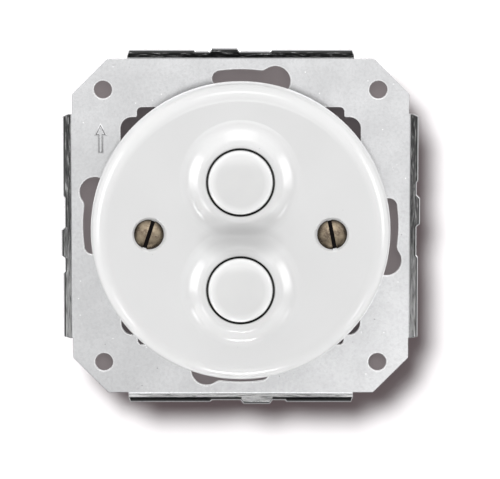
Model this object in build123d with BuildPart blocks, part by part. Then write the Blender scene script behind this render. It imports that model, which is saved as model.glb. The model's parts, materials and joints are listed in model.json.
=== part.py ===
from build123d import *
from math import cos, hypot, prod, radians, sin

# Porcelain push-button switch on a steel mounting plate, in millimetres.
# +Z is up, +X is right and the front faces -Y. The origin is the centre of the plate's back face,
# which lies on the wall. Heights are measured from the wall towards the front.

# Mounting plate, laid out from the screw circle of the wall box
slot_circle_diameter = 60.0
slot_width = 3.2
slot_lead_angle = 7.8
keyhole_diameter = 6.1
keyhole_angle = 13.3
keyhole_neck_radius = 1.7
slot_edge_margin = 0.65
slot_opening_margin = 2.95
plate_thickness = 0.8
plate_corner_cut = 7.1
plate_corner_radius = 0.5
opening_side_step = 3.3
opening_top_step = 2.0
opening_narrow_radius = 0.9
opening_wide_radius = 2.3
opening_tooth_radius = 0.35
fixing_hole_inset = 6.2
fixing_hole_diameter = 3.6

# Edge flanges of the plate, with a tab and its recesses for the next plate
flange_end_gap = 4.0
flange_run = 1.2
flange_flare = 50.0
flange_bend_radius = 0.4
flange_end_taper = 0.4
tab_length = 6.4
tab_rise = 0.65
tab_lean = 0.75
recess_drop = 0.4
recess_lean = 0.4
recess_before_tab = 2.9
recess_after_tab = 6.2

# Lugs that are bent back from the opening and clip the carrier
lug_width = 9.0
lug_length = 6.2
lug_bend_radius = 0.5
lug_window_width = 5.0
lug_window_height = 1.8
lug_window_depth = 2.6
clip_clearance = 0.12

# Porcelain cover
cover_overhang = 3.3
cover_depth = 11.1
cover_crown = 0.6
cover_rim_round = 3.4
cover_rim_back = 1.8
cover_rim_gap = 2.4
cover_seat_width = 4.2
cover_seat_inset = 0.3
cover_recess_depth = 6.4
collar_height = 2.8
collar_land = 0.55
collar_foot_width = 5.2
collar_lean = 0.4
collar_skirt = 0.05
collar_margin = 0.9
collar_root = 1.2
collar_grid = 0.6
collar_lip = 0.4
collar_ceiling = 3.2

# Cover screws and the inserts that take them
cover_screw_inset = 4.3
cover_screw_diameter = 3.0
cover_screw_head = 5.9
cover_screw_dome = 0.75
cover_screw_sink = 0.45
cover_screw_slot = 0.8
cover_screw_slot_depth = 0.9
cover_screw_bite = 5.5
left_slot_angle = -18.0
right_slot_angle = 11.0
screw_hole_clearance = 0.4
screw_pillar_wall = 2.4
insert_wall = 0.9
insert_length = 7.0
insert_boss_wall = 1.3
insert_boss_floor = 1.0
thread_clearance = 0.05

# Push buttons
button_diameter = 12.8
button_spacing = 21.4
button_clearance = 0.35
button_stand = 0.9
button_shoulder = 1.6
button_crown = 1.9
button_wall = 1.6
button_collar = 1.0
button_collar_depth = 1.4
button_travel = 2.0
stop_clearance = 0.1
cavity_clearance = 0.5

# Plungers, return springs and contacts
plunger_fit = 0.1
plunger_plug_depth = 3.0
stem_diameter = 5.0
pin_diameter = 3.0
pin_end = 0.5
guide_clearance = 0.12
guide_length = 6.5
guide_wall = 1.4
spring_wire = 0.7
spring_turns = 5.0
spring_stem_gap = 0.6
spring_cup_gap = 0.3
spring_end_gap = 0.06
cup_wall = 1.4
cup_floor = 1.5
cup_rise = 4.6
bridge_length = 15.6
bridge_width = 4.4
bridge_thickness = 0.8
bridge_headroom = 1.4
tip_diameter = 3.0
tip_height = 0.7
tip_spacing = 11.8
contact_gap = 0.05
retainer_diameter = 5.4
retainer_thickness = 0.5
retainer_slit = 0.5

# Carrier and terminal base
carrier_wall = 2.0
carrier_overlap = 2.5
carrier_shell = 1.6
carrier_depth = 12.2
carrier_neck_step = 0.9
carrier_shelf_drop = 2.4
body_corner_clearance = 0.8
body_clearance = 0.3
base_depth = 7.8
base_edge = 1.0
base_screw_inset = 3.8
base_screw_diameter = 2.8
base_screw_head = 5.0
base_screw_head_height = 1.8
base_screw_bite = 6.0
base_screw_boss_wall = 1.2
base_screw_play = 0.2

# Terminals
terminal_spacing = 27.0
strip_thickness = 0.8
strip_tongue_width = 4.6
strip_inner_end = 3.8
strip_clearance = 0.1
well_length = 8.0
well_width = 7.6
strip_ledge = 0.8
hold_rib_width = 3.0
clamp_thickness = 1.2
clamp_clearance = 0.3
clamp_corner = 1.0
wire_gap = 1.6
wire_entry_width = 3.6
terminal_screw_diameter = 3.5
terminal_screw_head = 6.0
terminal_screw_head_height = 2.0
terminal_screw_slot = 0.9
terminal_screw_reach = 1.6

# Heights from the wall, front to back
carrier_front = plate_thickness + carrier_wall
cover_face = carrier_front + cover_depth
cover_edge = cover_face - cover_crown
cover_rim_under = carrier_front + cover_rim_gap
collar_top = cover_face + collar_height
cavity_ceiling = collar_top - collar_ceiling
button_top = collar_top + button_stand
button_underside = button_top - button_crown
collar_stop = cavity_ceiling - stop_clearance
button_bottom = collar_stop - button_collar_depth
plug_bottom = button_underside - plunger_plug_depth
parting = -carrier_depth
fixed_tip_top = parting + tip_height
moving_tip_bottom = fixed_tip_top + contact_gap + button_travel
bridge_bottom = moving_tip_bottom + tip_height
bridge_top = bridge_bottom + bridge_thickness
guide_end = bridge_top + bridge_headroom
cup_seat = guide_end + guide_length
cup_top = carrier_front + cup_rise
carrier_shelf = -carrier_shelf_drop
base_back = parting - base_depth
strip_back = parting - strip_thickness
clamp_front = strip_back - wire_gap
clamp_back = clamp_front - clamp_thickness

# Radii and widths that follow
slot_radius = slot_circle_diameter / 2
plate_width = slot_circle_diameter + keyhole_diameter + 2 * slot_edge_margin
opening_width = slot_circle_diameter - keyhole_diameter - 2 * slot_opening_margin
fixing_hole_spacing = plate_width - 2 * fixing_hole_inset
flange_length = plate_width - 2 * plate_corner_cut - 2 * flange_end_gap
carrier_radius = opening_width / 2 + carrier_overlap
cover_radius = carrier_radius + cover_overhang
cover_flat = cover_radius - cover_rim_round
seat_outer = carrier_radius - cover_seat_inset
seat_inner = seat_outer - cover_seat_width
button_radius = button_diameter / 2
hole_radius = button_radius + button_clearance
collar_radius = hole_radius + collar_land
button_collar_radius = button_radius + button_collar
button_bore = button_radius - button_wall
stem_radius = stem_diameter / 2
pin_radius = pin_diameter / 2
guide_radius = stem_radius + guide_clearance
spring_radius = stem_radius + spring_stem_gap + spring_wire / 2
cup_radius = spring_radius + spring_wire / 2 + spring_cup_gap
screw_radius = cover_screw_diameter / 2
insert_bore = screw_radius + thread_clearance
insert_radius = insert_bore + insert_wall
lug_outer_face = opening_width / 2 - lug_bend_radius
lug_inner_face = lug_outer_face - plate_thickness
body_half = lug_inner_face - body_clearance
cover_screw_spacing = 2 * (body_half - cover_screw_inset)
body_corner_radius = (opening_width / 2 - opening_side_step) * 2**0.5 - body_corner_clearance
carrier_neck_radius = carrier_radius - carrier_neck_step
base_screw_spacing = 2 * (body_half - base_screw_inset)
pad_length = well_length + 2 * strip_ledge
pad_width = well_width + 2 * strip_ledge
base_screw_radius = base_screw_diameter / 2

# Planes and places
front = Plane.XZ
button_rows = {"upper": button_spacing / 2, "lower": -button_spacing / 2}
terminal_sides = {"left": -1, "right": 1}
cover_screw_slots = {-cover_screw_spacing / 2: left_slot_angle, cover_screw_spacing / 2: right_slot_angle}


def at(height):
    """The plane parallel to the wall at this height, seen from the front."""
    return front.offset(height)


def side_plane(quarter):
    """The wall plane turned clockwise by quarter turns: x along a side, y outwards from it."""
    along = front.x_dir.rotate(Axis(front.origin, front.z_dir), -90 * quarter)
    return Plane(front.origin, x_dir=along, z_dir=front.z_dir)


def radial_section(side):
    """The plane square to a side through its middle: x outwards, y towards the front."""
    return Plane(origin=side.origin, x_dir=side.y_dir, z_dir=side.x_dir)


def turning_plane(x, z):
    """The plane for a turned profile about an axis square to the wall: radius, then height."""
    return Plane(origin=(x, 0, z), x_dir=(1, 0, 0), z_dir=(0, 0, -1))


def turning_axis(x, z):
    """The axis square to the wall through this point."""
    return Axis((x, 0, z), (0, -1, 0))


def crown_height(x, z):
    """Height of the cover's crowned face over this point."""
    return cover_face - cover_crown * (hypot(x, z) / cover_flat) ** 2


def collar_fall(distance):
    """How far a collar has fallen at this distance from its axis: 0 on its land, 1 from its foot on."""
    share = min(max((distance - collar_radius) / collar_foot_width, 0), 1)
    leant = share * (1 + collar_lean * (1 - share))
    return leant**3 * (10 - 15 * leant + 6 * leant**2)


def collar_level(x, z):
    """Height of the collars, run into each other, with a skirt that dips under the crown past the foot."""
    near = [hypot(x, z - row) for row in button_rows.values()]
    fall = prod(collar_fall(distance) for distance in near)
    past_foot = max(min(near) - collar_radius - collar_foot_width * 0.86, 0)
    return collar_top + (crown_height(x, z) - collar_top) * fall - collar_skirt * past_foot**2


def collar_surface():
    """The smooth surface of both collars, laid through a grid of points."""
    half_width = collar_radius + collar_foot_width + collar_margin
    half_height = half_width + button_spacing / 2
    columns = round(2 * half_width / collar_grid)
    rows = round(2 * half_height / collar_grid)
    across = [half_width * (2 * column / columns - 1) for column in range(columns + 1)]
    along = [half_height * (2 * row / rows - 1) for row in range(rows + 1)]
    points = [[Vector(x, -collar_level(x, z), z) for z in along] for x in across]
    return Face.make_surface_from_array_of_points(points, tol=0.005, min_deg=3, max_deg=3)


def body_outline(corner_radius, inset=0):
    """Square outline of the mechanism with its corners cut to a circle, for a round wall box."""
    Rectangle(2 * (body_half - inset), 2 * (body_half - inset))
    Circle(corner_radius - inset, mode=Mode.INTERSECT)


def stepped_opening():
    """Central opening with stepped corners, where a rounded tooth is left at each step."""
    narrow_width = opening_width - 2 * opening_side_step
    narrow_height = opening_width - 2 * opening_top_step
    with BuildSketch() as opening:
        RectangleRounded(opening_width, narrow_height, opening_wide_radius)
        RectangleRounded(narrow_width, opening_width, opening_narrow_radius)
        corners = [place.position for place in GridLocations(narrow_width, narrow_height, 2, 2)]
        teeth = [opening.vertices().sort_by_distance(corner)[0] for corner in corners]
        fillet(teeth, opening_tooth_radius)
    return opening.sketch


def keyhole_slot():
    """Curved slot on the box-screw circle that ends in a round hole, at the top of the plate."""
    with BuildSketch() as keyhole:
        lead = 90 + slot_lead_angle
        sweep_angle = -(slot_lead_angle + keyhole_angle)
        SlotArc(CenterArc((0, 0), slot_radius, lead, sweep_angle), slot_width)
        with PolarLocations(slot_radius, 1, 90 - keyhole_angle):
            Circle(keyhole_diameter / 2)
        round_end = Vector(slot_radius, 0).rotate(Axis.Z, 90 - keyhole_angle)
        fillet(keyhole.vertices().sort_by_distance(round_end)[:2], keyhole_neck_radius)
    return keyhole.sketch


def edge_flange(side):
    """Flared flange along one side of the plate, trimmed to its tab and recesses."""
    bend = 90 - flange_flare
    edge = plate_width / 2
    overlap = plate_thickness
    outer_bend = flange_bend_radius + plate_thickness
    run_along = cos(radians(bend))
    run_up = sin(radians(bend))
    full_run = flange_run + tab_rise
    half_length = flange_length / 2
    centre = (edge, plate_thickness + flange_bend_radius)
    trim_origin = side.from_local_coords((0, centre[0] + flange_bend_radius * run_up, centre[1]))
    trim_normal = side.z_dir * run_along - side.y_dir * run_up
    with BuildPart() as flange:
        with BuildSketch(radial_section(side)):
            with BuildLine():
                inner = CenterArc(centre, flange_bend_radius, -90, bend)
                outer = CenterArc(centre, outer_bend, -90, bend)
                inner_top = inner @ 1 + Vector(run_along, run_up) * full_run
                outer_top = outer @ 1 + Vector(run_along, run_up) * full_run
                Polyline(inner @ 1, inner_top, outer_top, outer @ 1)
                root = (edge - overlap, 0), (edge - overlap, plate_thickness)
                Polyline(outer @ 0, *root, inner @ 0)
            make_face()
        extrude(amount=half_length, both=True)
        with BuildSketch(Plane(trim_origin, x_dir=side.x_dir, z_dir=trim_normal)):
            with BuildLine():
                recess = flange_run - recess_drop
                Polyline(
                    (-half_length, -outer_bend * 2),
                    (-half_length, 0),
                    (-half_length + flange_end_taper, flange_run),
                    (-tab_length - recess_before_tab, flange_run),
                    (-tab_length - recess_before_tab + recess_lean, recess),
                    (-tab_length, recess),
                    (-tab_length + tab_lean, full_run),
                    (-tab_lean, full_run),
                    (0, recess),
                    (recess_after_tab - recess_lean, recess),
                    (recess_after_tab, flange_run),
                    (half_length - flange_end_taper, flange_run),
                    (half_length, 0),
                    (half_length, -outer_bend * 2),
                    close=True,
                )
            make_face()
        extrude(amount=2 * outer_bend + full_run, both=True, mode=Mode.INTERSECT)
    return flange.part


def clip_lug(side):
    """Lug bent back from the middle of one side of the opening, with a window for the carrier's clip."""
    edge = opening_width / 2
    outer_bend = lug_bend_radius + plate_thickness
    centre = (edge, -lug_bend_radius)
    window_middle = -lug_window_depth - lug_window_height / 2
    with BuildPart() as lug:
        with BuildSketch(radial_section(side)):
            with BuildLine():
                inner = CenterArc(centre, lug_bend_radius, 90, 90)
                outer = CenterArc(centre, outer_bend, 90, 90)
                Polyline(inner @ 1, (lug_outer_face, -lug_length), (lug_inner_face, -lug_length), outer @ 1)
                root = (edge + plate_thickness, plate_thickness), (edge + plate_thickness, 0)
                Polyline(outer @ 0, *root, inner @ 0)
            make_face()
        extrude(amount=lug_width / 2, both=True)
        with BuildSketch(Plane(side.origin, x_dir=side.x_dir, z_dir=side.y_dir * -1)):
            with Locations((0, window_middle)):
                Rectangle(lug_window_width, lug_window_height)
        extrude(amount=-edge, mode=Mode.SUBTRACT)
    return lug.part


def finish(piece, name):
    """Names a finished piece and writes it."""
    piece.part.label = name
    export_step(piece.part, f"parts/{name}.step")


# Mounting plate: one stamped and bent sheet
with BuildPart() as mounting_plate:
    with BuildSketch(at(0)) as blank:
        Rectangle(plate_width, plate_width)
        chamfer(blank.vertices(), plate_corner_cut)
        fillet(blank.vertices(), plate_corner_radius)
        add(stepped_opening(), mode=Mode.SUBTRACT)
        with GridLocations(fixing_hole_spacing, fixing_hole_spacing, 2, 2):
            Circle(fixing_hole_diameter / 2, mode=Mode.SUBTRACT)
        with PolarLocations(0, 4):
            add(keyhole_slot(), mode=Mode.SUBTRACT)
    extrude(amount=plate_thickness)
    for quarter in range(4):
        add(edge_flange(side_plane(quarter)))
        add(clip_lug(side_plane(quarter)))
finish(mounting_plate, "mounting_plate")

# Porcelain cover: a crowned disc whose collars run smoothly into it and each other, hollow at the back
with BuildPart() as porcelain_cover:
    with BuildSketch(turning_plane(0, 0)):
        with BuildLine():
            rim_front = cover_rim_under + cover_rim_back
            crown_middle = (cover_flat / 2, crown_height(cover_flat / 2, 0))
            crown = ThreePointArc((0, cover_face), crown_middle, (cover_flat, cover_edge))
            lead = crown @ 1 + (crown % 1) * cover_rim_round * 0.6
            brow = (cover_radius, rim_front + (cover_edge - rim_front) * 0.6)
            Bezier(crown @ 1, lead, brow, (cover_radius, rim_front))
            under = (cover_radius - cover_rim_back, cover_rim_under)
            Bezier((cover_radius, rim_front), (cover_radius, cover_rim_under), under)
            Polyline(under, (seat_outer, cover_rim_under), (seat_outer, carrier_front))
            Polyline((seat_outer, carrier_front), (0, carrier_front), (0, cover_face))
        make_face()
    revolve(axis=turning_axis(0, 0))
    extrude(collar_surface(), amount=collar_height + collar_root, dir=-front.z_dir)
    with BuildSketch(at(carrier_front)):
        Circle(seat_inner)
        with GridLocations(cover_screw_spacing, 0, 2, 1):
            Circle(screw_radius + screw_hole_clearance + screw_pillar_wall, mode=Mode.SUBTRACT)
    extrude(amount=cover_recess_depth, mode=Mode.SUBTRACT)
    with BuildSketch(at(carrier_front)):
        with GridLocations(0, button_spacing, 1, 2):
            Circle(button_collar_radius + cavity_clearance)
    extrude(amount=cavity_ceiling - carrier_front, mode=Mode.SUBTRACT)
    for row in button_rows.values():
        with BuildSketch(turning_plane(0, row)):
            with BuildLine():
                lip_foot = (hole_radius, collar_top - collar_lip)
                lip_edge = (hole_radius + collar_lip, collar_top + collar_lip / 3)
                Bezier(lip_foot, (hole_radius, collar_top - collar_lip / 3), lip_edge)
                Polyline(lip_edge, (hole_radius + collar_lip, button_top), (0, button_top))
                Polyline((0, button_top), (0, carrier_front), (hole_radius, carrier_front), lip_foot)
            make_face()
        revolve(axis=turning_axis(0, row), mode=Mode.SUBTRACT)
    head_rim = crown_height(cover_screw_spacing / 2, 0) - cover_screw_sink
    sink_radius = cover_screw_head / 2 + thread_clearance
    for x in cover_screw_slots:
        with BuildSketch(turning_plane(x, 0)):
            with BuildLine():
                shank_hole = screw_radius + screw_hole_clearance
                sink_bottom = head_rim - (sink_radius - shank_hole)
                mouth = sink_radius + cover_face - head_rim
                Polyline(
                    (0, carrier_front),
                    (shank_hole, carrier_front),
                    (shank_hole, sink_bottom),
                    (mouth, cover_face),
                    (0, cover_face),
                    close=True,
                )
            make_face()
        revolve(axis=turning_axis(x, 0), mode=Mode.SUBTRACT)
finish(porcelain_cover, "porcelain_cover")

# Cover screws: slotted, with a low dome over a countersunk head
with BuildPart() as cover_screws:
    head_radius = cover_screw_head / 2
    dome_top = head_rim + cover_screw_dome
    for x, slot_angle in cover_screw_slots.items():
        with BuildSketch(turning_plane(x, 0)):
            with BuildLine():
                Bezier((0, dome_top), (head_radius * 0.7, dome_top), (head_radius, head_rim))
                Polyline(
                    (head_radius, head_rim),
                    (screw_radius, head_rim - head_radius + screw_radius),
                    (screw_radius, carrier_front - cover_screw_bite),
                    (0, carrier_front - cover_screw_bite),
                    (0, dome_top),
                )
            make_face()
        revolve(axis=turning_axis(x, 0))
        with BuildSketch(at(dome_top)):
            with Locations((x, 0)):
                Rectangle(cover_screw_slot, cover_screw_head, rotation=slot_angle)
        extrude(amount=-cover_screw_slot_depth, mode=Mode.SUBTRACT)
finish(cover_screws, "cover_screws")

# Brass inserts in the carrier, flush with its front
with BuildPart() as cover_inserts:
    with BuildSketch(at(carrier_front - insert_length)):
        with GridLocations(cover_screw_spacing, 0, 2, 1):
            Circle(insert_radius - thread_clearance)
            Circle(insert_bore, mode=Mode.SUBTRACT)
    extrude(amount=insert_length)
finish(cover_inserts, "cover_inserts")

# Carrier: front moulding with a flange on the plate, spring cups, guides and clips
with BuildPart() as switch_carrier:
    with BuildSketch(at(plate_thickness)):
        Circle(carrier_radius)
    extrude(amount=carrier_wall)
    with BuildSketch(at(carrier_shelf)):
        body_outline(carrier_neck_radius)
    extrude(amount=plate_thickness - carrier_shelf)
    with BuildSketch(at(parting)):
        body_outline(body_corner_radius)
    extrude(amount=carrier_shelf - parting)
    with BuildSketch(at(parting)):
        body_outline(carrier_neck_radius, carrier_shell)
    extrude(amount=plate_thickness - parting, mode=Mode.SUBTRACT)
    with BuildSketch(at(parting)):
        body_outline(body_corner_radius, carrier_shell)
    extrude(amount=carrier_shelf - carrier_shell - parting, mode=Mode.SUBTRACT)
    with BuildSketch(at(cup_seat - cup_floor)):
        with GridLocations(0, button_spacing, 1, 2):
            Circle(cup_radius + cup_wall)
    extrude(amount=cup_top - cup_seat + cup_floor)
    with BuildSketch(at(guide_end)):
        with GridLocations(0, button_spacing, 1, 2):
            Circle(guide_radius + guide_wall)
    extrude(amount=guide_length)
    with BuildSketch(at(carrier_front - insert_length - insert_boss_floor)):
        with GridLocations(cover_screw_spacing, 0, 2, 1):
            Circle(insert_radius + insert_boss_wall)
    extrude(amount=insert_length + insert_boss_floor - carrier_wall)
    with BuildSketch(at(parting)):
        with GridLocations(0, base_screw_spacing, 1, 2):
            Circle(base_screw_radius + thread_clearance + base_screw_boss_wall)
    extrude(amount=plate_thickness - parting)
    with BuildSketch(at(parting)):
        rib_inner = terminal_spacing / 2 + well_length / 2 + strip_clearance
        rib_length = body_half - rib_inner - carrier_shell / 2
        with GridLocations(2 * rib_inner + rib_length, button_spacing, 2, 2):
            Rectangle(rib_length, hold_rib_width)
    extrude(amount=plate_thickness - parting)
    for quarter in range(4):
        clip_front = -lug_window_depth - clip_clearance
        clip_back = -lug_window_depth - lug_window_height + clip_clearance
        with BuildSketch(radial_section(side_plane(quarter))):
            with BuildLine():
                Polyline(
                    (body_half - carrier_shell / 2, clip_front),
                    (lug_outer_face - clip_clearance, clip_front),
                    (body_half, clip_back),
                    (body_half - carrier_shell / 2, clip_back),
                    close=True,
                )
            make_face()
        extrude(amount=lug_window_width / 2 - clip_clearance, both=True)
    with BuildSketch(at(cup_seat)):
        with GridLocations(0, button_spacing, 1, 2):
            Circle(cup_radius)
    extrude(amount=cup_top - cup_seat, mode=Mode.SUBTRACT)
    with BuildSketch(at(guide_end)):
        with GridLocations(0, button_spacing, 1, 2):
            Circle(guide_radius)
    extrude(amount=guide_length, mode=Mode.SUBTRACT)
    with BuildSketch(at(carrier_front - insert_length)):
        with GridLocations(cover_screw_spacing, 0, 2, 1):
            Circle(insert_radius)
    extrude(amount=insert_length, mode=Mode.SUBTRACT)
    with BuildSketch(at(parting)):
        with GridLocations(0, base_screw_spacing, 1, 2):
            Circle(base_screw_radius + thread_clearance)
    extrude(amount=base_screw_bite + base_screw_play, mode=Mode.SUBTRACT)
finish(switch_carrier, "switch_carrier")


def terminal_outline(side, row, grow):
    """Outline of a terminal strip: a square pad over the well and a tongue towards the button."""
    pad_x = side * terminal_spacing / 2
    tongue_length = terminal_spacing / 2 - strip_inner_end
    tongue_x = side * (strip_inner_end + tongue_length / 2)
    with Locations((pad_x, row)):
        Rectangle(pad_length + 2 * grow, pad_width + 2 * grow)
    with Locations((tongue_x, row)):
        Rectangle(tongue_length + 2 * grow, strip_tongue_width + 2 * grow)


# Terminal base: rear moulding with a channel for each strip and a well behind each terminal
with BuildPart() as terminal_base:
    with BuildSketch(at(base_back)):
        body_outline(body_corner_radius)
    extrude(amount=base_depth)
    chamfer(terminal_base.faces().sort_by(Axis.Y)[-1].edges(), base_edge)
    with BuildSketch(at(strip_back)):
        for side in terminal_sides.values():
            for row in button_rows.values():
                terminal_outline(side, row, strip_clearance)
    extrude(amount=strip_thickness, mode=Mode.SUBTRACT)
    with BuildSketch(at(base_back)):
        with GridLocations(terminal_spacing, button_spacing, 2, 2):
            Rectangle(well_length, well_width)
    extrude(amount=base_depth, mode=Mode.SUBTRACT)
    with BuildSketch(at(clamp_back - terminal_screw_head_height)):
        entry_length = body_half - terminal_spacing / 2
        with GridLocations(terminal_spacing + entry_length, button_spacing, 2, 2):
            Rectangle(entry_length, wire_entry_width)
    extrude(amount=terminal_screw_head_height + clamp_thickness + wire_gap, mode=Mode.SUBTRACT)
    with BuildSketch(at(base_back)):
        with GridLocations(0, base_screw_spacing, 1, 2):
            Circle(base_screw_radius + base_screw_play)
    extrude(amount=base_depth, mode=Mode.SUBTRACT)
    with BuildSketch(at(base_back)):
        with GridLocations(0, base_screw_spacing, 1, 2):
            Circle(base_screw_head / 2 + base_screw_play)
    extrude(amount=base_screw_head_height, mode=Mode.SUBTRACT)
finish(terminal_base, "terminal_base")

# Base screws, from the back into the carrier
with BuildPart() as base_screws:
    with BuildSketch(at(base_back)):
        with GridLocations(0, base_screw_spacing, 1, 2):
            Circle(base_screw_head / 2)
    extrude(amount=base_screw_head_height)
    with BuildSketch(at(base_back)):
        with GridLocations(0, base_screw_spacing, 1, 2):
            Circle(base_screw_radius)
    extrude(amount=base_depth + base_screw_bite)
    with BuildSketch(at(base_back)):
        with GridLocations(0, base_screw_spacing, 1, 2):
            Rectangle(base_screw_head, cover_screw_slot)
    extrude(amount=base_screw_head_height / 2, mode=Mode.SUBTRACT)
finish(base_screws, "base_screws")

# Fixed terminal strips, one for each side of each button
for row_name, row in button_rows.items():
    for side_name, side in terminal_sides.items():
        with BuildPart() as terminal:
            with BuildSketch(at(strip_back)):
                terminal_outline(side, row, 0)
                with Locations((side * terminal_spacing / 2, row)):
                    Circle(terminal_screw_diameter / 2 + thread_clearance, mode=Mode.SUBTRACT)
            extrude(amount=strip_thickness)
        finish(terminal, f"{row_name}_{side_name}_terminal")

# Fixed contact tips on the strips
with BuildPart() as terminal_tips:
    with BuildSketch(at(parting)):
        with GridLocations(tip_spacing, button_spacing, 2, 2):
            Circle(tip_diameter / 2)
    extrude(amount=tip_height)
finish(terminal_tips, "terminal_tips")

# Clamp plates under the heads of the terminal screws
with BuildPart() as clamp_plates:
    with BuildSketch(at(clamp_back)) as clamp_outline:
        with GridLocations(terminal_spacing, button_spacing, 2, 2):
            Rectangle(well_length - 2 * clamp_clearance, well_width - 2 * clamp_clearance)
        chamfer(clamp_outline.vertices(), clamp_corner)
        with GridLocations(terminal_spacing, button_spacing, 2, 2):
            Circle(terminal_screw_diameter / 2 + thread_clearance, mode=Mode.SUBTRACT)
    extrude(amount=clamp_thickness)
finish(clamp_plates, "clamp_plates")

# Terminal screws, with their slotted heads in the wells
with BuildPart() as terminal_screws:
    with BuildSketch(at(clamp_back - terminal_screw_head_height)):
        with GridLocations(terminal_spacing, button_spacing, 2, 2):
            Circle(terminal_screw_head / 2)
    extrude(amount=terminal_screw_head_height)
    with BuildSketch(at(clamp_back)):
        with GridLocations(terminal_spacing, button_spacing, 2, 2):
            Circle(terminal_screw_diameter / 2)
    extrude(amount=parting + terminal_screw_reach - clamp_back)
    with BuildSketch(at(clamp_back - terminal_screw_head_height)):
        with GridLocations(terminal_spacing, button_spacing, 2, 2):
            Rectangle(terminal_screw_head, terminal_screw_slot)
    extrude(amount=terminal_screw_head_height / 2, mode=Mode.SUBTRACT)
finish(terminal_screws, "terminal_screws")

# What moves with each button, and the spring that brings it back
for row_name, row in button_rows.items():
    with BuildPart() as button:
        with BuildSketch(turning_plane(0, row)):
            with BuildLine():
                side_top = (button_radius, button_top - button_shoulder)
                crown_end = (button_radius * 0.86, button_top)
                brow = (button_radius, button_top - button_shoulder / 4)
                Bezier((0, button_top), crown_end, brow, side_top)
                Polyline(
                    side_top,
                    (button_radius, collar_stop),
                    (button_collar_radius, collar_stop),
                    (button_collar_radius, button_bottom),
                    (button_bore, button_bottom),
                    (button_bore, button_underside),
                    (0, button_underside),
                    (0, button_top),
                )
            make_face()
        revolve(axis=turning_axis(0, row))
    finish(button, f"{row_name}_button")

    with BuildPart() as plunger:
        with BuildSketch(turning_plane(0, row)):
            with BuildLine():
                plug_radius = button_bore - plunger_fit
                pin_tip = bridge_bottom - retainer_thickness - pin_end
                Polyline(
                    (0, button_underside),
                    (plug_radius, button_underside),
                    (plug_radius, plug_bottom),
                    (stem_radius, plug_bottom),
                    (stem_radius, bridge_top),
                    (pin_radius, bridge_top),
                    (pin_radius, pin_tip),
                    (0, pin_tip),
                    close=True,
                )
            make_face()
        revolve(axis=turning_axis(0, row))
    finish(plunger, f"{row_name}_plunger")

    with BuildPart() as bridge:
        with BuildSketch(at(bridge_bottom)):
            with Locations((0, row)):
                SlotOverall(bridge_length, bridge_width)
                Circle(pin_radius + thread_clearance, mode=Mode.SUBTRACT)
        extrude(amount=bridge_thickness)
    finish(bridge, f"{row_name}_bridge")

    with BuildPart() as bridge_tips:
        with BuildSketch(at(moving_tip_bottom)):
            with Locations((0, row)):
                with GridLocations(tip_spacing, 0, 2, 1):
                    Circle(tip_diameter / 2)
        extrude(amount=tip_height)
    finish(bridge_tips, f"{row_name}_bridge_tips")

    with BuildPart() as retainer:
        with BuildSketch(at(bridge_bottom - retainer_thickness)):
            with Locations((0, row)):
                Circle(retainer_diameter / 2)
                Circle(pin_radius + thread_clearance, mode=Mode.SUBTRACT)
                slit_length = (retainer_diameter / 2 - pin_radius) / 2
                with PolarLocations(pin_radius + slit_length / 2, 4):
                    Rectangle(slit_length, retainer_slit, mode=Mode.SUBTRACT)
        extrude(amount=retainer_thickness)
    finish(retainer, f"{row_name}_retainer")

    with BuildPart() as spring:
        with BuildLine() as coil:
            coil_start = cup_seat + spring_wire / 2 + spring_end_gap
            coil_end = plug_bottom - spring_wire / 2 - spring_end_gap
            coil_height = coil_end - coil_start
            Helix(
                coil_height / spring_turns,
                coil_height,
                spring_radius,
                center=(0, -coil_start, row),
                direction=(0, -1, 0),
            )
        with BuildSketch(Plane(origin=coil.line @ 0, z_dir=coil.line % 0)):
            RegularPolygon(spring_wire / 2, 6)
        sweep(path=coil.line, is_frenet=True)
    finish(spring, f"{row_name}_return_spring")
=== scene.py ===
import json
import logging
from dataclasses import dataclass
from enum import Enum
from functools import reduce
from math import cos, radians, sin
from typing import ClassVar, Optional, Sequence

import bpy
import numpy as np
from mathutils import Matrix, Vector


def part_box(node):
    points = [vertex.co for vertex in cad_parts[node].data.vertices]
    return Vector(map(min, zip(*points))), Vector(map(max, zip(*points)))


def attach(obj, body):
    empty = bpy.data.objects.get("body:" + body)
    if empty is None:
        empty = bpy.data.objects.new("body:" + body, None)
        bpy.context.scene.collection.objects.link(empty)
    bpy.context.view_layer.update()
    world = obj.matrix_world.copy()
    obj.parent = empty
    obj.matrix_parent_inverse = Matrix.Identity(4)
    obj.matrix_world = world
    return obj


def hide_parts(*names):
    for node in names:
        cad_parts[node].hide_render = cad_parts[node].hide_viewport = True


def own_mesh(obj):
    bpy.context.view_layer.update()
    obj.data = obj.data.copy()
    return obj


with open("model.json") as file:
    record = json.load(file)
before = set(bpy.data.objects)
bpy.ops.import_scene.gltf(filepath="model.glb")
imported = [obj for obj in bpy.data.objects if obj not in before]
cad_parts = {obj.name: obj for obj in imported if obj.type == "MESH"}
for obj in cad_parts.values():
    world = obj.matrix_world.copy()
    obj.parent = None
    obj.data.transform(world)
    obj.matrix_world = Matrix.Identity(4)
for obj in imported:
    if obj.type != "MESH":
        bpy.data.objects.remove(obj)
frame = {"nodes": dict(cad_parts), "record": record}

LOG = logging.getLogger("porcelain_push_switch")
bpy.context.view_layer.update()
MM = 0.001
Socket = bpy.types.NodeSocket
Pair = tuple[float, float]
Triple = tuple[float, float, float]
Colour = Triple
# colour of the painted shade in the gaps round the buttons
PAINTED_BORE_SHADE: Colour = (0.03, 0.029, 0.028)


def placed(name: str, data: bpy.types.ID) -> bpy.types.Object:
    """A new object in the scene, at the origin.

    Args:
        name: Name of the object.
        data: Its mesh, lamp or camera.

    Returns:
        The object.
    """
    made = bpy.data.objects.new(name, data)
    bpy.context.scene.collection.objects.link(made)
    return made


class Coordinates(Enum):
    """Which output of the Texture Coordinate node a pattern is laid on."""

    OBJECT = "Object"
    GENERATED = "Generated"


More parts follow.
